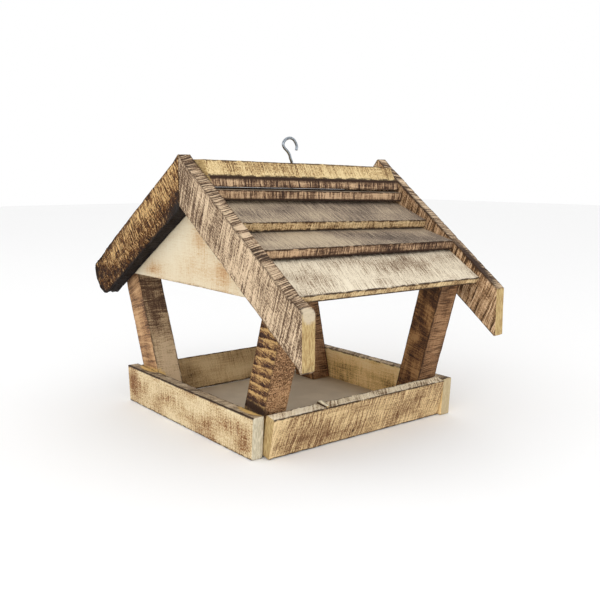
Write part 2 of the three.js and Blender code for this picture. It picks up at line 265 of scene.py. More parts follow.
class Graph:
    """Short names for the nodes of one material."""

    def __init__(self, name):
        self.material = bpy.data.materials.new(name)
        self.material.use_nodes = True
        self.tree = self.material.node_tree
        self.tree.nodes.clear()

    def node(self, kind, inputs=None, **settings):
        n = self.tree.nodes.new(kind)
        for key, value in settings.items():
            setattr(n, key, value)
        for key, value in (inputs or {}).items():
            self.put(n.inputs[key], value)
        return n

    def put(self, socket, value):
        if isinstance(value, bpy.types.NodeSocket):
            self.tree.links.new(value, socket)
        else:
            socket.default_value = value

    def math(self, operation, a, b=0.0, c=0.0):
        return self.node("ShaderNodeMath", {0: a, 1: b, 2: c}, operation=operation).outputs[0]

    def scaled(self, vector, factors):
        n = self.node("ShaderNodeVectorMath", {0: vector, 1: factors}, operation="MULTIPLY")
        return n.outputs[0]

    def attr(self, name, output="Fac"):
        return self.node("ShaderNodeAttribute", attribute_name=name).outputs[output]

    def noise(self, vector, scale=1.0, detail=3.0, rough=0.55, distort=0.0):
        return self.node("ShaderNodeTexNoise", {
            "Vector": vector, "Scale": scale, "Detail": detail, "Roughness": rough,
            "Distortion": distort}).outputs["Fac"]

    def step(self, value, low, high, to=(0.0, 1.0)):
        return self.node("ShaderNodeMapRange", {"Value": value, "From Min": low, "From Max": high,
                                                "To Min": to[0], "To Max": to[1]},
                         interpolation_type="SMOOTHSTEP").outputs["Result"]

    def mix(self, factor, a, b):
        n = self.node("ShaderNodeMix", data_type="RGBA")
        for socket, value in ((n.inputs[0], factor), (n.inputs[6], a), (n.inputs[7], b)):
            self.put(socket, value)
        return n.outputs[2]

    def bump(self, height, distance, strength=1.0):
        n = self.node("ShaderNodeBump", {"Height": height, "Distance": distance, "Strength": strength})
        return n.outputs[0]

    def surface(self, inputs):
        """Finish the material with a Principled surface."""
        shader = self.node("ShaderNodeBsdfPrincipled", inputs)
        self.tree.links.new(shader.outputs[0], self.node("ShaderNodeOutputMaterial").inputs[0])
        return self.material


WOBBLE, SPECK_LONG, SPECK_HIGH, CONTRAST, SHADE_PULL = 5.0, 0.96, 1.8, 1.25, 0.42
DEEP_AT, LOW_AT, MID_AT, HIGH_AT = 0.0, 0.2, 0.52, 0.86


def look(g, wood, low, mid, high, deep, strokes=1.4, fine=1.2, dashes=1.3, fibre=0.7, blotch=1.0,
         pitch=4.0, slant=0.0, patch=34.0, bias=0.0, cross=0.0, reach=18.0):
    """Colour and height of one face of a scorched sawn board, from its place in millimetres.
    Saw strokes, dashes, fibre and scorch patches add up to one tone from 0 to 1, and that
    picks a colour between the deep, low, mid and high ones. The strokes are pitch wide and
    reach times as long, and slant turns them; patch is the size of the scorch patches."""
    x, y, z = g.node("ShaderNodeSeparateXYZ", {0: wood}).outputs
    across = g.math("ADD", y, z)
    drift = g.noise(g.scaled(wood, (0.05, 0.05, 0.05)), detail=2.0)
    cosine, sine = math.cos(slant), math.sin(slant)
    s = g.math("MULTIPLY_ADD", x, cosine, g.math("MULTIPLY", across, sine))
    s = g.math("MULTIPLY_ADD", drift, WOBBLE, s)
    t = g.math("MULTIPLY_ADD", across, cosine, g.math("MULTIPLY", x, -sine))

    def sheet(along, over, seed):
        u, v = g.math("DIVIDE", s, along), g.math("DIVIDE", t, over)
        return g.node("ShaderNodeCombineXYZ", {0: u, 1: v, 2: seed}).outputs[0]

    # The shade attribute moves the tone: mostly scorch patches, and on some boards painted shade and
    # painted light.
    tone_sum = g.math("MULTIPLY_ADD", g.attr("shade"), SHADE_PULL, 0.5 + bias)
    strands = g.noise(g.scaled(wood, (0.03, 0.8, 0.8)), detail=4.0, rough=0.6)
    layers = (
        (strokes, g.noise(sheet(pitch, pitch * reach, 1.0), detail=2.0, rough=0.55)),
        (fine, g.noise(sheet(pitch * 0.45, pitch * reach * 0.4, 2.0), detail=1.5, rough=0.6)),
        (dashes, g.noise(sheet(SPECK_LONG, SPECK_HIGH, 3.0), detail=1.0, rough=0.5)),
        (fibre, strands),
        (blotch, g.noise(g.scaled(wood, (1 / patch, 1.7 / patch, 1.7 / patch)), detail=1.5,
                         rough=0.5)),
        (cross, g.noise(g.scaled(wood, (0.1, 1.1, 1.1)), detail=1.0)),
    )
    for weight, value in layers:
        if weight:
            centred = g.math("SUBTRACT", value, 0.5)
            tone_sum = g.math("MULTIPLY_ADD", centred, weight * CONTRAST, tone_sum)
    ramp = g.node("ShaderNodeValToRGB", {0: tone_sum})
    stops = ramp.color_ramp.elements
    stops[0].position, stops[0].color = DEEP_AT, deep
    stops[1].position, stops[1].color = HIGH_AT, high
    for position, colour in ((LOW_AT, low), (MID_AT, mid)):
        stops.new(position).color = colour
    height = g.math("MULTIPLY_ADD", tone_sum, 0.9, g.math("MULTIPLY", strands, 0.3))
    return ramp.outputs[0], height


# The char colour serves real char and also the painted shadow held in some char blobs.
CHAR_AND_SHADOW, PALE, PALE_GREY = tone(54, 34, 20), tone(224, 184, 112), tone(206, 190, 164)
END_GRAIN = tone(203, 178, 126), tone(165, 135, 88)
ROUGHNESS = 0.86


def wood_material(name, face, side, end=END_GRAIN, char=CHAR_AND_SHADOW, pale=PALE, line=0.85, bump=0.0006):
    """Scorched board: one look on its broad faces, another on its narrow ones, end grain,
    burnt arrises as strong as line, and the painted char and pale places. On some boards the
    char places also hold painted shadow, in the char colour."""
    g = Graph(name)
    wood = g.attr("wood", "Vector")
    colour, height = look(g, wood, **LOOKS[face])
    other, other_height = look(g, wood, **LOOKS[side])
    on_side = g.attr("side")
    colour = g.mix(on_side, colour, other)
    height = g.math("ADD", g.math("MULTIPLY", other_height, on_side),
                    g.math("MULTIPLY", height, g.math("SUBTRACT", 1.0, on_side)))
    rings = g.noise(g.scaled(wood, (0.02, 0.16, 0.9)), detail=5.0, rough=0.6, distort=0.6)
    pores = g.noise(g.scaled(wood, (1.2, 1.2, 1.2)), detail=2.0)
    grain_end = g.mix(g.step(rings, 0.4, 0.62), end[1], end[0])
    grain_end = g.mix(g.math("MULTIPLY", g.step(pores, 0.58, 0.7), 0.4), grain_end, end[1])
    colour = g.mix(g.attr("end"), colour, grain_end)
    mottled = g.noise(g.scaled(wood, (0.35, 0.35, 0.35)), detail=4.0, rough=0.65)
    pale_at = g.step(g.math("MULTIPLY_ADD", mottled, 0.5, g.attr("pale")), 0.5, 0.85)
    colour = g.mix(g.math("MULTIPLY", pale_at, 0.9), colour, pale)
    # This mask is char, and on some boards painted shadow: under the slats above, along slat and
    # ridge-base edges, and at a back post's head.
    burn_and_shadow = g.step(g.math("MULTIPLY_ADD", mottled, 0.7, g.attr("char")), 0.55, 1.15)
    colour = g.mix(burn_and_shadow, colour, char)
    brink = g.noise(g.scaled(wood, (0.16, 0.5, 0.5)), detail=3.0)
    arris = g.math("MULTIPLY", g.attr("arris"), g.step(brink, 0.3, 0.62, (0.25, 1.0)))
    colour = g.mix(g.math("MULTIPLY", g.step(arris, 0.14, 0.5), line), colour, char)
    shine = g.math("MULTIPLY_ADD", burn_and_shadow, -0.12, ROUGHNESS)
    return g.surface({"Base Color": colour, "Roughness": shine, "Normal": g.bump(height, bump),
                      "Specular IOR Level": 0.25})


def shades(mid, low, high, deep=None):
    """The four colours of one face, from screen colours; the deepest one defaults to scorch."""
    return dict(mid=tone(*mid), low=tone(*low), high=tone(*high),
                deep=tone(*(deep or [v * 0.66 for v in low])))


# What look() is given for each kind of face
LOOKS = {
    "verge_tan": dict(shades((176, 151, 122), (120, 96, 74), (222, 196, 163), (90, 68, 50)),
                      pitch=2.1, slant=math.radians(14), strokes=2.2, fine=1.1, dashes=1.5,
                      blotch=0.6, cross=1.0, reach=22.0),
    "verge_edge": dict(shades((152, 127, 101), (98, 74, 54), (214, 188, 156)), pitch=1.7,
                       strokes=3.4, fine=1.0, slant=math.radians(-14), dashes=0.8, fibre=0.2,
                       blotch=1.0, patch=30.0, reach=30.0),
    "bark": dict(shades((140, 93, 47), (94, 58, 27), (242, 200, 136), (50, 28, 12)), pitch=2.4,
                 slant=math.radians(-5), strokes=2.1, fine=1.5, dashes=1.1, fibre=0.9, blotch=0.9,
                 patch=26.0, reach=7.0),
    "verge_far": dict(shades((182, 146, 108), (112, 82, 54), (226, 192, 154)), pitch=2.4,
                      slant=math.radians(14), strokes=2.4, fine=0.8, dashes=0.8),
    "gable": dict(shades((214, 197, 166), (192, 156, 114), (222, 210, 184), (158, 112, 74)),
                  pitch=1.6, strokes=0.35, fine=0.3, dashes=0.5, fibre=0.3, blotch=0.5, patch=50.0,
                  cross=0.35, bias=0.12),
    "slat_grey": dict(shades((158, 141, 121), (118, 103, 90), (192, 174, 147)), pitch=1.35,
                      slant=math.radians(-9), strokes=1.2, fine=0.9, dashes=0.9, fibre=0.3,
                      blotch=1.0, patch=60.0, reach=26.0),
    "slat_pale": dict(shades((216, 202, 178), (160, 140, 116), (236, 224, 200), (106, 84, 65)),
                      pitch=1.25, slant=math.radians(-9), strokes=1.2, fine=0.9, dashes=0.8,
                      fibre=0.2, blotch=0.7, patch=46.0, reach=20.0, bias=0.05),
    "slat_edge": dict(shades((190, 160, 116), (120, 90, 58), (224, 198, 152)), pitch=2.2,
                      strokes=1.2, fine=0.8, dashes=1.1, blotch=1.2, patch=26.0),
    "brown_edge": dict(shades((146, 116, 88), (82, 58, 44), (204, 172, 136)), pitch=2.0,
                       strokes=1.7, fine=1.0, dashes=0.8, blotch=1.3, patch=28.0),
    "ridge_gold": dict(shades((204, 176, 126), (156, 122, 80), (230, 206, 156)), pitch=2.0,
                       strokes=1.1, fine=0.8, dashes=1.5, fibre=0.5, blotch=0.9, patch=26.0),
    "post_band": dict(shades((128, 92, 57), (78, 49, 35), (198, 160, 104), (52, 32, 26)), pitch=2.0,
                      strokes=1.4, fine=0.8, dashes=1.2, fibre=0.7, blotch=0.8, reach=7.0),
    "post_speck": dict(shades((146, 108, 74), (96, 64, 38), (192, 152, 110)), pitch=1.4,
                       strokes=1.2, fine=0.9, dashes=1.9, blotch=0.7, reach=8.0),
    "post_orange": dict(shades((172, 132, 92), (126, 92, 66), (204, 164, 122)), pitch=3.4,
                        strokes=1.2, fine=0.9, dashes=0.8, blotch=1.1),
    "post_grey": dict(shades((174, 148, 114), (118, 92, 70), (204, 178, 144), (84, 62, 46)),
                      pitch=2.4, strokes=1.1, fine=0.9, dashes=0.8, blotch=1.2, patch=30.0),
    # Post wood darkened for the broad faces of the back posts, which stand in shade: painted shade
    "post_dark_painted_shade": dict(shades((118, 82, 48), (76, 48, 30), (158, 118, 76)), pitch=2.6, strokes=0.9,
                      fine=0.8, dashes=0.8, blotch=1.7, patch=24.0),
    "post_red": dict(shades((134, 98, 66), (96, 66, 42), (166, 128, 92)), pitch=1.4, strokes=1.7,
                     fine=1.0, dashes=0.6, blotch=0.8),
    "tray_cream": dict(shades((214, 190, 147), (158, 118, 76), (234, 216, 178), (110, 68, 40)),
                       pitch=1.4, strokes=0.9, fine=0.6, dashes=1.1, fibre=0.4, blotch=0.9,
                       patch=50.0, cross=0.3, bias=0.03),
    "tray_rim": dict(shades((166, 143, 114), (104, 82, 60), (210, 188, 156)), pitch=2.0,
                     slant=math.radians(30), strokes=1.5, fine=1.0, dashes=0.9, blotch=1.2,
                     patch=26.0),
    "tray_tan": dict(shades((200, 170, 124), (146, 113, 78), (232, 204, 156), (108, 74, 48)),
                     pitch=1.5, slant=math.radians(-13), strokes=1.6, fine=1.0, dashes=1.1,
                     blotch=0.8, patch=34.0),
    "tray_rim_pale": dict(shades((228, 211, 180), (170, 147, 117), (246, 232, 206), (112, 86, 62)),
                          pitch=2.0, slant=math.radians(34), strokes=1.4, fine=0.8, dashes=0.9,
                          blotch=1.1, patch=26.0),
    "inner": dict(shades((180, 152, 110), (142, 116, 80), (200, 174, 132)), pitch=2.0, strokes=0.6,
                  fine=0.5, dashes=0.7, blotch=1.4, patch=50.0),
    "chip": dict(shades((252, 240, 208), (226, 206, 168), (255, 250, 228), (190, 160, 118)),
                 pitch=1.4, strokes=0.5, fine=0.4, dashes=0.5, blotch=0.4, bias=0.1),
    # Wood lightened for faces inside the tray, which sit in shade: painted light
    "inner_gold_painted_light": dict(shades((240, 204, 142), (204, 166, 106), (250, 222, 168)), pitch=2.0,
                       strokes=0.6, fine=0.5, dashes=0.7, blotch=1.4, patch=50.0),
}


# --- Roof: verge boards --------------------------------------------------------------------
def verge(name, side, slope, width, t, nose, material, seed, heel=0.0, outer_is_far=False,
          peak=((GAP / 2, PEAK_RISE), (PEAK_RUN, 0.0)), **kwargs):
    """Verge board in the XZ plane. Local x follows the slope; its two ends are plumb. nose is
    its free end from the top line down, as (run, height) points, and heel the run where the
    lower line starts towards it. peak gives how far the top line stands off the slope near
    the ridge, as (run, rise) points."""
    fall = math.tan(slope)
    drop = width / math.cos(slope)
    runs = np.array([n[0] for n in nose])
    heights = np.array([n[1] for n in nose])
    last = runs.max()
    k = int(np.argmax(runs))
    top_run = np.concatenate([[run for run, _ in peak], runs[:k + 1]])
    top_z = np.concatenate([[RIDGE_Z - fall * run + rise for run, rise in peak], heights[:k + 1]])
    heel_run = heel or runs[-1] - HEEL_BACK
    low_run = np.concatenate([[GAP / 2, heel_run], runs[k:][::-1]])
    low_line = [RIDGE_Z - fall * GAP / 2 - drop, RIDGE_Z - fall * heel_run - drop]
    low_z = np.concatenate([low_line, heights[k:][::-1]])
    length = last / math.cos(slope)

    def plan(x, y):
        run = GAP / 2 + (last - GAP / 2) * x / length
        low = np.interp(run, low_run, low_z)
        high = np.interp(run, top_run, top_z)
        return run, low + (high - low) * y / width

    def place(x, y, z):
        run, height = plan(x, y)
        y = ROOF_FAR - t + z if outer_is_far else ROOF_NEAR + t - z
        return np.stack([RIDGE_X + side * run, y, height], -1)

    def coords(x, y, z):
        run, height = plan(x, y)
        h = height - (RIDGE_Z - drop)
        along = run * math.cos(slope) - h * math.sin(slope)
        across = run * math.sin(slope) + h * math.cos(slope)
        return np.stack([along, across, z], -1)

    return board(name, (length, width, t), place, seed, slot="verge_board", coords=coords,
                 material=material, **kwargs)


BARK_DEPTH, EDGE_DEPTH = 4.68, 1.9


def bark_relief(p, q, out):
    """Live edge: deep torn ridges on the lower half of the outer face and along both edges."""
    low = np.clip((30 - p[:, 1]) / 16, 0, 1) * np.clip(p[:, 0] / 30, 0.15, 1)
    toward_end = np.clip((p[:, 0] - 180) / 40, 0, 1)
    zone = np.maximum(low, toward_end) * (out[:, 2] > -0.5)
    torn = np.abs(fbm(q * np.array([0.055, 0.16, 0.16]), 71))
    edge = np.abs(noise(q * np.array([0.14, 0.05, 0.05]), 72)) * (np.abs(out[:, 1]) > 0.4)
    return BARK_DEPTH * zone * torn + EDGE_DEPTH * edge


verge("verge_front_right", 1, math.radians(33.7), 41.6, NEAR_VERGE_T,
      [[178, 161.8], [194.2, 154.6], [196.8, 151], [196.8, 101.4], [194.2, 98.9]],
      wood_material("verge_tan", "verge_tan", "verge_edge", line=0.55, pale=PALE_GREY), 1,
      saw=(0.35, 6.0, math.radians(8)), marks=((52, 20, 1.6, 1.2), (132, 7, 1.5, 1.0)),
      char=(((52, 19, 14.7), (1.8, 2.4, 3), 0.9), ((133, 6, 14.7), (2.2, 2.6, 3), 0.8),
            ((238, 0, 6), (14, 9, 30), 0.4)),
      pale=(((237, 40, 7), (7, 7, 9), 0.85),),
      shade=(((6, 24, 13), (30, 40, 20), -0.9), ((58, 30, 13), (10, 8, 12), 0.5),
             ((108, 18, 13), (44, 26, 12), 0.3), ((150, 34, 13), (30, 8, 12), 0.3),
             ((222, 22, 13), (26, 30, 12), -0.35)))
verge("verge_front_left", -1, math.radians(30.5), 46.4, NEAR_VERGE_T,
      [[205.5, 159.4], [209.8, 153], [206.4, 137], [198, 127.5], [188, 121.8], [177, 122.6]],
      wood_material("verge_bark", "bark", "brown_edge", line=0.7, bump=0.002, char=tone(32, 21, 14),
                    end=(tone(120, 86, 54), tone(60, 40, 24))), 2, heel=168.0, bark=bark_relief,
      saw=(0.35, 7.0, 0.1), chips=0.9,
      char=(((110, 0, 4), (400, 5.5, 12), 1.6), ((236, 16, 10), (16, 26, 20), 0.5),
            ((10, 2, 13), (40, 12, 20), 0.8), ((150, 8, 13), (60, 7, 20), 0.4)),
      shade=(((40, 34, 14), (70, 13, 12), 0.4), ((228, 24, 14), (34, 40, 12), -0.8),
             ((8, 6, 14), (24, 14, 12), -0.8), ((130, 10, 14), (130, 15, 12), -0.85),
             ((150, 30, 14), (50, 8, 12), 0.35), ((100, 46, 14), (300, 4, 20), -0.5)))
verge("verge_back_right", 1, math.radians(36.2), 43.3, FAR_VERGE_T,
      [[174.5, 152.6], [181.6, 146.8], [181.6, 97], [179.6, 95.4]],
      wood_material("verge_far", "verge_far", "verge_edge", line=0.8, pale=PALE_GREY), 3,
      outer_is_far=True, chips=1.3, wave=0.9, peak=((GAP / 2, 1.0), (8.0, 0.0)),
      char=(((70, 43, 0), (90, 3.5, 5), 0.75), ((185, 43, 3), (50, 3.5, 9), 0.85)),
      pale=(((205, 36, 7), (6, 6, 5), 0.7),))
verge("verge_back_left", -1, math.radians(31.8), 44.0, FAR_VERGE_T,
      [[192, 161.6], [201, 156.6], [203, 153.5], [203, 107], [200, 104.8]],
      wood_material("verge_far_left", "verge_tan", "verge_edge", line=0.8), 4, outer_is_far=True,
      chips=0.9, peak=((GAP / 2, 0.5), (5.0, -2.0), (10.0, -4.5), (30.0, 0.0)))


# --- Roof: slats and ridge -----------------------------------------------------------------
# The middle of a slat's length, and a blob's reach well past both its ends
MID_SLAT, PAST_ENDS = 127, 300

# Name; run and height of the upper and the lower top corner at the far gable, how much higher
# each of them sits at the near gable, and the thickness; the looks of its faces and of its
# edges; how dark the painted shadow under the board above is; and how dark its lower edge is,
# from char and painted shadow
SLATS = [
    ("slat_eave", ((113.8, 184), (159.8, 156), (4, 1.9), 8.2),
     "slat_pale", "slat_edge", 0.75, 0.8),
    ("slat_middle", ((66, 206.6), (122.7, 192.5), (5.4, 3.8), 9.8),
     "slat_grey", "brown_edge", 0.0, 1.1),
    ("slat_upper", ((27, 233.9), (82.7, 212.8), (5.8, 5.8), 9.4),
     "slat_grey", "slat_edge", 0.0, 0.3),
    ("slat_ridge", ((25.5, 244.3), (43, 242.6), (5.8, 5.8), 10.2),
     "slat_grey", "brown_edge", 0.75, 1.1),
]

# Lighter and darker blobs on the slats
SCORCH = {
    "slat_eave_right": (((36, 17, 8), (22, 13, 9), -0.8), ((144, 36, 8), (34, 11, 9), -0.5),
                        ((180, 32, 8), (24, 13, 9), -0.6), ((229, 40, 8), (22, 8, 9), -0.4),
                        ((90, 14, 8), (30, 16, 9), 0.25), ((14, 40, 8), (22, 10, 9), 0.4)),
    "slat_middle_right": (((222, 12, 9), (44, 22, 9), -0.7), ((57, 19, 9), (60, 20, 9), 0.4),
                          ((130, 30, 9), (30, 12, 9), -0.4),
                          ((MID_SLAT, 58, 9), (PAST_ENDS, 7, 9), 0.5)),
    "slat_upper_right": (((30, 24, 9), (26, 14, 9), -0.6), ((182, 30, 9), (38, 14, 9), -0.8),
                         ((90, 12, 9), (40, 14, 9), 0.3),
                         ((MID_SLAT, 59, 9), (PAST_ENDS, 5, 9), 0.6)),
    "slat_eave_left": (((60, 20, 8), (30, 14, 9), -0.9), ((200, 30, 8), (30, 12, 9), -0.8)),
    "slat_middle_left": (((120, 20, 8), (50, 14, 9), -0.8),),
    "slat_upper_left": (((80, 20, 8), (40, 14, 9), -0.8), ((210, 30, 8), (30, 12, 9), -0.6)),
}


def slat_section(up, low, rise, t, side, near):
    """Section of a slat, from 0 at the far gable to 1 at the near one."""
    def put(run, z, extra):
        if side > 0:
            return run, z + extra * near
        return run * LEFT_RUN, z + LEFT_RISE * run + extra * near
    (r1, z1), (r2, z2) = put(*up, rise[0]), put(*low, rise[1])
    slope = math.atan2(z1 - z2, r2 - r1)
    dr, dz = -t * math.sin(slope), -t * math.cos(slope)

    def at(r, z):
        return RIDGE_X + side * r, z
    return [[at(r2 + dr, z2 + dz), at(r2, z2)], [at(r1 + dr, z1 + dz), at(r1, z1)]]


seed = 10
for side, word in ((1, "right"), (-1, "left")):
    for label, shape, face, edge, painted_shadow_under, lip_char_and_shadow in SLATS:
        up, low, _, t = shape
        width = math.hypot(up[0] - low[0], up[1] - low[1]) * (1 if side > 0 else LEFT_RUN)
        size = (INNER_FAR - INNER_NEAR, width, t)
        corners = run_along_y(slat_section(*shape, side, 1), slat_section(*shape, side, 0),
                              INNER_NEAR, INNER_FAR)
        # The first char blob is a painted shadow under the board above; the second darkens the lower
        # edge, partly char and partly painted shadow.
        board(f"{label}_{word}", size, block(corners, size), seed,
              saw=(0.2, 5.0, -0.1), wave=0.3, rough=0.14,
              material=wood_material(f"{label}_{word}", face, edge, line=0.95),
              tight=((2, -1), (1, 1)),
              char=(((MID_SLAT, width, t), (PAST_ENDS, 9, 9), painted_shadow_under),
                    ((MID_SLAT, 0, 0), (PAST_ENDS, 3, 2.2), lip_char_and_shadow)),
              shade=SCORCH.get(f"{label}_{word}", ()))
        seed += 1


def ridge_board(name, half_top, half_bottom, z_top, z_bottom, material, seed, **kwargs):
    """Board along the ridge. half_top and half_bottom are half its widths."""
    def section(rise):
        return [[(RIDGE_X - half_bottom, z_bottom + rise), (RIDGE_X - half_top, z_top + rise)],
                [(RIDGE_X + half_bottom, z_bottom + rise), (RIDGE_X + half_top, z_top + rise)]]
    size = (INNER_FAR - INNER_NEAR, half_top + half_bottom, z_top - z_bottom)
    corners = run_along_y(section(NEAR_RISE), section(0), INNER_NEAR, INNER_FAR)
    return board(name, size, block(corners, size), seed, slot="ridge_board", material=material,
                 **kwargs)


# The two char blobs darken the base's top arrises beside the cap: char and painted shadow.
ridge_board("ridge_base", 36, 37.6, 255.5, 244.95,
            wood_material("ridge_base", "slat_grey", "brown_edge"), 30,
            wave=0.25, tight=((2, 1), (2, -1)),
            char=(((MID_SLAT, 74, 10), (PAST_ENDS, 5, 3.4), 1.0),
                  ((MID_SLAT, 0, 10), (PAST_ENDS, 5, 3.4), 1.0)))
ridge_board("ridge_cap", 22.4, 32.6, 271.8, 255.6,
            wood_material("ridge_cap", "ridge_gold", "ridge_gold"), 31,
            wave=0.6, chips=0.6, tight=((2, -1),),
            shade=(((MID_SLAT, 27, 16), (PAST_ENDS, 24, 4), -0.5),
                   ((MID_SLAT, 55, 2), (PAST_ENDS, 4, 3), 0.5)))


# --- Gable panels --------------------------------------------------------------------------
def gable(name, y0, t, rise, outward, material, seed, **kwargs):
    """Panel in the XZ plane with a level lower edge and a peaked top. outward is -1 or 1."""
    apex = GABLE_APEX + rise
    left = RIDGE_X - (apex - GABLE_BOTTOM - GABLE_END_H) / GABLE_FALL_LEFT
    right = RIDGE_X + (apex - GABLE_BOTTOM - GABLE_END_H) / GABLE_FALL_RIGHT
    height = apex - GABLE_BOTTOM
    size = (right - left, height, t)

    def plan(x, y):
        at = left + x
        off = at - RIDGE_X
        top = apex - np.where(off > 0, off * GABLE_FALL_RIGHT, -off * GABLE_FALL_LEFT)
        return at, GABLE_BOTTOM + (top - GABLE_BOTTOM) * y / height

    def place(x, y, z):
        at, up = plan(x, y)
        return np.stack([at, y0 + (t - z if outward < 0 else z), up], -1)

    def coords(x, y, z):
        at, up = plan(x, y)
        return np.stack([at, up, z], -1)

    return board(name, size, place, seed, slot="gable_panel", coords=coords, material=material,
                 rough=0.06, saw=(0.06, 5.0, 0.0), wave=0.2, step=(2.2, 2.2, 1.6), **kwargs)


gable_wood = wood_material("gable_cream", "gable", "tray_cream", line=0.45, bump=0.0002)
gable("gable_front", POST_NEAR - GAP - NEAR_GABLE_T, NEAR_GABLE_T, NEAR_RISE - 0.4, -1,
      gable_wood, 40,
      shade=(((166, 50, 5), (19, 17, 9), -0.8), ((62, 20, 5), (22, 13, 9), -0.75),
             ((206, 32, 5), (18, 26, 9), -0.65), ((161, 16, 5), (40, 12, 9), -0.35),
             ((120, 60, 5), (30, 30, 9), 0.2), ((150, 0, 5), (200, 3, 9), -0.4)))
gable("gable_back", POST_FAR + GAP, FAR_GABLE_T, 0.0, 1,
      wood_material("gable_back", "tray_cream", "tray_cream"), 41)


# --- Tray ----------------------------------------------------------------------------------
def gable_board(name, bottom, top, inner, outer, material, seed, **kwargs):
    """Tray board along X. bottom and top are the X of its two ends at its lower and its upper
    edge, inner and outer the Y of its faces."""
    corners = [[[(low, inner, 0), (low, outer, 0)], [(high, inner, TRAY_H), (high, outer, TRAY_H)]]
               for low, high in zip(bottom, top)]
    size = (top[1] - top[0], TRAY_H, TRAY_T)
    return board(name, size, block(corners, size), seed, slot="tray_board", material=material,
                 **kwargs)


gable_board("tray_board_front", [-132.2, 119.4], [-135.1, 122.3], TRAY_NEAR + TRAY_T, TRAY_NEAR,
            wood_material("tray_front", "tray_cream", "tray_rim",
                          end=(tone(222, 213, 190), tone(192, 182, 156))), 50,
            saw=(0.1, 5.0, 0.0), rough=0.1, chips=0.8,
            char=(((128, 42, 13.2), (400, 1.7, 1.9), 1.1),),
            pale=(((32, 42, 2), (20, 5, 6), 1.0), ((236, 42, 2), (18, 5, 6), 1.1)),
            shade=(((14, 22, 13), (12, 24, 9), -1.1), ((86, 22, 13), (20, 12, 9), -0.9),
                   ((150, 14, 13), (26, 10, 9), -0.5), ((238, 18, 13), (16, 14, 9), -0.8),
                   ((214, 26, 13), (18, 10, 9), -0.3), ((120, 30, 13), (60, 9, 9), 0.4),
                   ((262, 16, 13), (8, 20, 9), 0.5)))
# Its faces use the lightened inner look, painted light for the tray's shaded inside; the broad shade
# blob darkens its outer face again.
gable_board("tray_board_back", [-129.1, 132.2], [-132, 134.9], TRAY_FAR - TRAY_T, TRAY_FAR,
            wood_material("tray_back", "inner_gold_painted_light", "tray_rim",
                          end=(tone(196, 178, 141), tone(180, 160, 124))), 51,
            saw=(0.1, 5.0, 0.0),
            char=(((40, 14, 13), (22, 12, 4), 0.42), ((176, 28, 13), (34, 9, 4), 0.42)),
            shade=(((132, 21, 13.2), (400, 90, 3), -0.55), ((90, 34, 13), (40, 10, 3), 0.5)))


def side_board(name, side, foot, lean, height, t, material, seed, **kwargs):
    """Tray board along Y that leans outward. foot is the X and Z of its outer lower corner."""
    up = (side * math.sin(lean), math.cos(lean))
    inward = (-side * math.cos(lean), math.sin(lean))

    def at(a, b):
        return foot[0] + up[0] * a + inward[0] * b, foot[1] + up[1] * a + inward[1] * b

    section = [[at(0, t), at(0, 0)], [at(height, t), at(height, 0)]]
    y0, y1 = TRAY_NEAR + TRAY_T + GAP, TRAY_FAR - TRAY_T - GAP
    size = (y1 - y0, height, t)
    return board(name, size, block(run_along_y(section, section, y0, y1), size), seed,
                 slot="tray_board", material=material, **kwargs)


side_board("tray_board_right", 1, (128.1, 0), 0.215, 42, 13.3,
           wood_material("tray_right", "tray_tan", "tray_rim_pale"), 52,
           saw=(0.25, 5.0, -0.22), wave=0.6, chips=0.9,
           marks=((104, 8, 2.0, 0.8), (141, 18, 1.8, 0.8)),
           char=(((115, 42, 13.3), (400, 1.4, 1.7), 1.0), ((104, 8, 13), (2.5, 2.2, 4), 0.9),
                 ((115, 0, 13.3), (400, 1.6, 2.4), 0.9)),
           shade=(((34, 14, 13), (16, 15, 9), -0.9), ((62, 16, 13), (14, 12, 9), -0.5),
                  ((110, 10, 13), (30, 7, 9), -0.6), ((196, 22, 13), (44, 14, 9), -0.25),
                  ((4, 20, 13), (7, 30, 9), 0.8)))

# A splinter that stands up from the right board's rim
splinter_size = (10.0, 5.2, 1.8)
splinter = [[[(136.0, -57.6, 41.0), (136.2, -57.4, 42.7)],
             [(136.0, -53.5, 41.0), (136.2, -53.7, 42.7)]],
            [[(124.8, -60.4, 43.4), (125.0, -60.2, 46.0)],
             [(124.8, -53.0, 43.4), (125.0, -53.2, 45.8)]]]
board("tray_splinter", splinter_size, block(splinter, splinter_size), 54, node="tray_board_right",
      slot="tray_board", step=(0.8, 0.8, 0.6), r=0.4, saw=(0.0, 5.0, 0.0), rough=0.1, wave=0.0,
      chips=0.2, char=(((5, 0, 0.6), (20, 0.7, 1.2), 1.0),),
      material=wood_material("splinter", "chip", "inner_gold_painted_light", line=0.5))

side_board("tray_board_left", -1, (-122.2, 0.8), 0.375, 40, 13,
           wood_material("tray_left", "inner", "tray_rim"), 53,
           char=(((70, 16, 13), (30, 10, 4), 0.42), ((190, 24, 13), (22, 14, 4), 0.42)))


# --- Posts ---------------------------------------------------------------------------------
def under_deck(x, y):
    """Height of the eave slats' lower faces."""
    side = 1 if x > RIDGE_X else -1
    near = (INNER_FAR - y) / (INNER_FAR - INNER_NEAR)
    (low, _), (high, _) = slat_section(*SLATS[0][1], side, near)
    return low[1] + (high[1] - low[1]) * (x - low[0]) / (high[0] - low[0])


def post(name, inner, outer, lean, y0, y1, material, seed, **kwargs):
    """Leaning post. inner and outer are the X of its faces at the height of the tray's rim."""
    foot = FLOOR_TOP + POST_GAP

    def at(rim, z):
        return rim + lean * (z - TRAY_H)

    def head(rim):
        z = 160.0
        for _ in range(12):
            z = min(under_deck(at(rim, z), y0), under_deck(at(rim, z), y1)) - HEAD_GAP
        return z

    west, east = min(inner, outer), max(inner, outer)
    corners = [[[(at(rim, z), y1, z), (at(rim, z), y0, z)] for rim, z in ((west, zw), (east, ze))]
               for zw, ze in ((foot, foot), (head(west), head(east)))]
    size = (head(inner) - foot, east - west, y1 - y0)
    return board(name, size, block(corners, size), seed, slot="post", material=material, **kwargs)
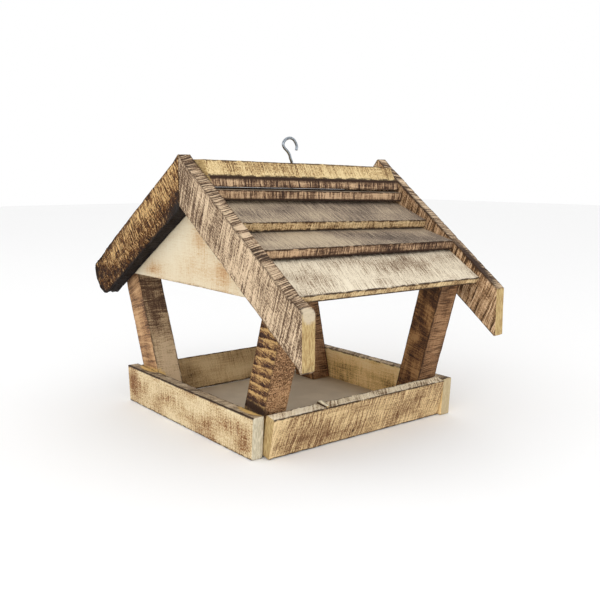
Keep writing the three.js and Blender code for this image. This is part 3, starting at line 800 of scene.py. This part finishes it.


# Its bands' tone paints shade into the hollows of the steps and light onto their crests.
post("post_front_right", 87.1, 119.7, 0.33, POST_NEAR, POST_NEAR + 27.4,
     wood_material("post_front_right", "post_band", "post_speck", line=0.45), 60,
     saw=(0.2, 5.0, 0.12), wave=0.4, bands=(9.2, -0.04, 1.4, 1.05), step=(0.7, 1.1, 1.6),
     char=(((42, 16, 27), (9, 40, 6), 0.9),), pale=(((27, 20, 27), (12, 60, 9), 1.0),))
# Its shade blobs darken the top of its +X face and lighten it lower down: painted shade and painted
# light.
post("post_front_left", -86.5, -122.9, -0.4, POST_NEAR, POST_NEAR + 28.9,
     wood_material("post_front_left", "post_orange", "post_grey", line=0.7), 61,
     shade=(((120, 36, 14), (42, 9, 40), -0.85), ((44, 36, 14), (34, 9, 40), 0.8)),
     pale=(((28, 20, 28), (12, 60, 9), 1.0),))
# Its char blob darkens the head of the post under the roof: painted shadow.
post("post_back_right", 92.3, 122.8, 0.28, POST_FAR - 27.6, POST_FAR,
     wood_material("post_back_right", "post_dark_painted_shade", "post_red"), 62,
     char=(((150, 15, 27), (30, 40, 20), 0.5),))
post("post_back_left", -65.8, -101.8, -0.25, POST_FAR - 28, POST_FAR,
     wood_material("post_back_left", "post_dark_painted_shade", "post_red"), 63)


# --- Floor panel ---------------------------------------------------------------------------
def panel_material():
    g = Graph("floor_panel")
    wood = g.attr("wood", "Vector")
    broad = g.noise(g.scaled(wood, (0.02, 0.02, 0.02)), detail=3.0)
    fine = g.noise(g.scaled(wood, (0.9, 0.9, 0.9)), detail=4.0, rough=0.7)
    colour = g.mix(g.step(broad, 0.35, 0.65), tone(178, 162, 139), tone(192, 176, 152))
    colour = g.mix(g.math("MULTIPLY", g.step(fine, 0.5, 0.72), 0.35), colour, tone(146, 130, 108))
    colour = g.mix(g.math("MULTIPLY", g.attr("end"), 0.6), colour, tone(110, 88, 62))
    return g.surface({"Base Color": colour, "Normal": g.bump(fine, 0.00006, 0.7),
                      "Roughness": g.step(fine, 0.2, 0.8, (0.55, 0.75))})


size = (FLOOR_X[1] - FLOOR_X[0], FLOOR_Y[1] - FLOOR_Y[0], FLOOR_T)
corners = [[[(x, y, FLOOR_TOP - FLOOR_T), (x, y, FLOOR_TOP)] for y in FLOOR_Y] for x in FLOOR_X]
board("tray_floor", size, block(corners, size), 70, slot="floor_panel", step=(4.0, 4.0, 1.4), r=0.4,
      saw=(0, 5, 0), rough=0.03, wave=0.15, chips=0.1, material=panel_material())


# --- Screw hook ----------------------------------------------------------------------------
def steel():
    g = Graph("zinc_wire")
    at = g.node("ShaderNodeTexCoord").outputs["Object"]
    spangle = g.noise(at, scale=900.0, detail=3.0)
    draw = g.noise(g.scaled(at, (2600.0, 2600.0, 160.0)), detail=2.0)
    colour = g.mix(g.step(spangle, 0.35, 0.7), tone(170, 177, 184), tone(96, 104, 113))
    return g.surface({"Base Color": colour, "Metallic": 1.0, "Normal": g.bump(draw, 0.00003, 0.6),
                      "Roughness": g.step(spangle, 0.3, 0.8, (0.2, 0.38))})


def catmull(points, per):
    """Smooth line through the points, with per steps between two of them."""
    p = np.array([2 * points[0] - points[1]] + list(points) + [2 * points[-1] - points[-2]])
    out = []
    for i in range(1, len(p) - 2):
        for t in np.linspace(0, 1, per, endpoint=False):
            a, b, c, d = p[i - 1:i + 3]
            squared, cubed = 2 * a - 5 * b + 4 * c - d, 3 * b - a - 3 * c + d
            out.append(0.5 * (2 * b + (c - a) * t + squared * t ** 2 + cubed * t ** 3))
    return np.array(out + [p[-2]])


def hook():
    """Screw and bent wire as one closed tube. line is the wire's middle from the ridge up."""
    line = np.array([
        [0, -3], [-0.2, 2], [-2.2, 6.5], [-3.4, 10.2], [-6.4, 14], [-10.2,
                                                                    17.3], [-11.9,
                                                                            20.9], [-10.4, 24.4],
        [-6.6, 27.2], [-1.8, 27.9], [2.4, 26.2], [5.4, 22.4], [6.6, 18.6], [5.9, 15.4]], float)
    wire = catmull(list(line), 10)
    way = np.gradient(wire, axis=0)
    way /= np.linalg.norm(way, axis=1, keepdims=True)
    sides = 28
    angle = 2 * math.pi * np.arange(sides) / sides
    rings = []

    def circle(wy, wz):
        return (np.cos(angle)[:, None] * np.array([1.0, 0, 0])
                + np.sin(angle)[:, None] * np.array([0, wz, -wy]))

    for z in np.arange(0, 27, 0.2):
        core = min(1.1, 0.12 + 0.3 * z)
        crest = 0.38 * min(1.0, z / 3) * max(0.0, min(1.0, (24 - z) / 2))
        plain = max(0.0, min(1.0, (z - 22) / 3))
        saw = np.abs(((z / THREAD_PITCH - angle / (2 * math.pi)) % 1.0) - 0.5) * 2
        radius = (core + crest * saw ** 1.5) * (1 - plain) + WIRE_R * plain
        height = np.full(sides, THREAD_BOTTOM + z)
        rings.append(np.stack([radius * np.cos(angle), radius * np.sin(angle), height], -1))
    for (y, z), (wy, wz) in zip(wire, way):
        rings.append(WIRE_R * circle(wy, wz) + np.array([0, y, z]))
    (y, z), (wy, wz) = wire[-1], way[-1]
    for shrink, out in ((0.96, 0.18), (0.85, 0.32), (0.6, 0.42), (0.25, 0.46)):
        rings.append(shrink * WIRE_R * circle(wy, wz) + np.array([0, y + wy * out, z + wz * out]))
    verts = np.concatenate(rings) + np.array([RIDGE_X, 0, HOOK_BASE])
    faces = []
    for low in range(0, (len(rings) - 1) * sides, sides):
        for k in range(sides):
            after = (k + 1) % sides
            faces.append([low + k, low + after, low + sides + after, low + sides + k])
    faces.append(list(range(sides))[::-1])
    faces.append(list(range(len(verts) - sides, len(verts))))
    mesh = bpy.data.meshes.new("screw_hook")
    mesh.from_pydata((verts * MM).tolist(), [], faces)
    mesh.polygons.foreach_set("use_smooth", np.ones(len(faces), bool))
    mesh.update()
    obj = bpy.data.objects.new("hook_wire", mesh)
    bpy.context.collection.objects.link(obj)
    mesh.materials.append(steel())
    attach(obj, "root")
    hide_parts("screw_hook")


hook()


# --- Stage, light and camera ------------------------------------------------------------------
def stage():
    mesh = bpy.data.meshes.new("ground")
    mesh.from_pydata([(-6, -6, 0), (6, -6, 0), (6, 6, 0), (-6, 6, 0)], [], [(0, 1, 2, 3)])
    ground = bpy.data.objects.new("ground", mesh)
    bpy.context.collection.objects.link(ground)
    mesh.materials.append(Graph("ground").surface(
        {"Base Color": (0.93, 0.93, 0.93, 1), "Roughness": 0.95, "Specular IOR Level": 0.1}))

    world = bpy.data.worlds.new("studio")
    bpy.context.scene.world = world
    world.use_nodes = True
    world.node_tree.nodes["Background"].inputs[0].default_value = (1.0, 1.0, 1.0, 1)
    world.node_tree.nodes["Background"].inputs[1].default_value = 1.0

    def area(name, place, aim, size, power):
        lamp = bpy.data.lights.new(name, "AREA")
        lamp.size, lamp.energy = size, power
        obj = bpy.data.objects.new(name, lamp)
        obj.location = place
        obj.rotation_mode = "QUATERNION"
        obj.rotation_quaternion = (Vector(aim) - Vector(place)).to_track_quat("-Z", "Y")
        bpy.context.collection.objects.link(obj)

    area("key", (0.9, -1.3, 0.75), (0, 0, 0.12), 1.1, 7)
    area("left", (-1.3, -1.4, 1.5), (0, 0, 0.15), 1.3, 3)
    area("right", (1.9, 0.2, 0.7), (0, 0, 0.1), 1.2, 4)


stage()

# The camera fitted to the photo: place in metres, angles, and focal length in mm on its sensor
CAMERA_AT = (0.68598, -0.52110, 0.26171)
YAW, PITCH, ROLL = (math.radians(v) for v in (51.903, -9.134, 0.137))
FOCAL, SENSOR = 46.5018, 36.0

camera_data = bpy.data.cameras.new("camera")
camera_data.lens, camera_data.sensor_width = FOCAL, SENSOR
camera_data.clip_start, camera_data.clip_end = 0.01, 50.0
camera = bpy.data.objects.new("camera", camera_data)
bpy.context.collection.objects.link(camera)
ahead = Vector((-math.sin(YAW) * math.cos(PITCH), math.cos(YAW) * math.cos(PITCH), math.sin(PITCH)))
right = Vector((math.cos(YAW), math.sin(YAW), 0))
above = right.cross(ahead)
turned_right = right * math.cos(ROLL) + above * math.sin(ROLL)
turned_above = above * math.cos(ROLL) - right * math.sin(ROLL)
camera.matrix_world = Matrix((
    (turned_right.x, turned_above.x, -ahead.x, CAMERA_AT[0]),
    (turned_right.y, turned_above.y, -ahead.y, CAMERA_AT[1]),
    (turned_right.z, turned_above.z, -ahead.z, CAMERA_AT[2]),
    (0, 0, 0, 1)))
bpy.context.scene.camera = camera
bpy.context.scene.view_settings.view_transform = "Standard"
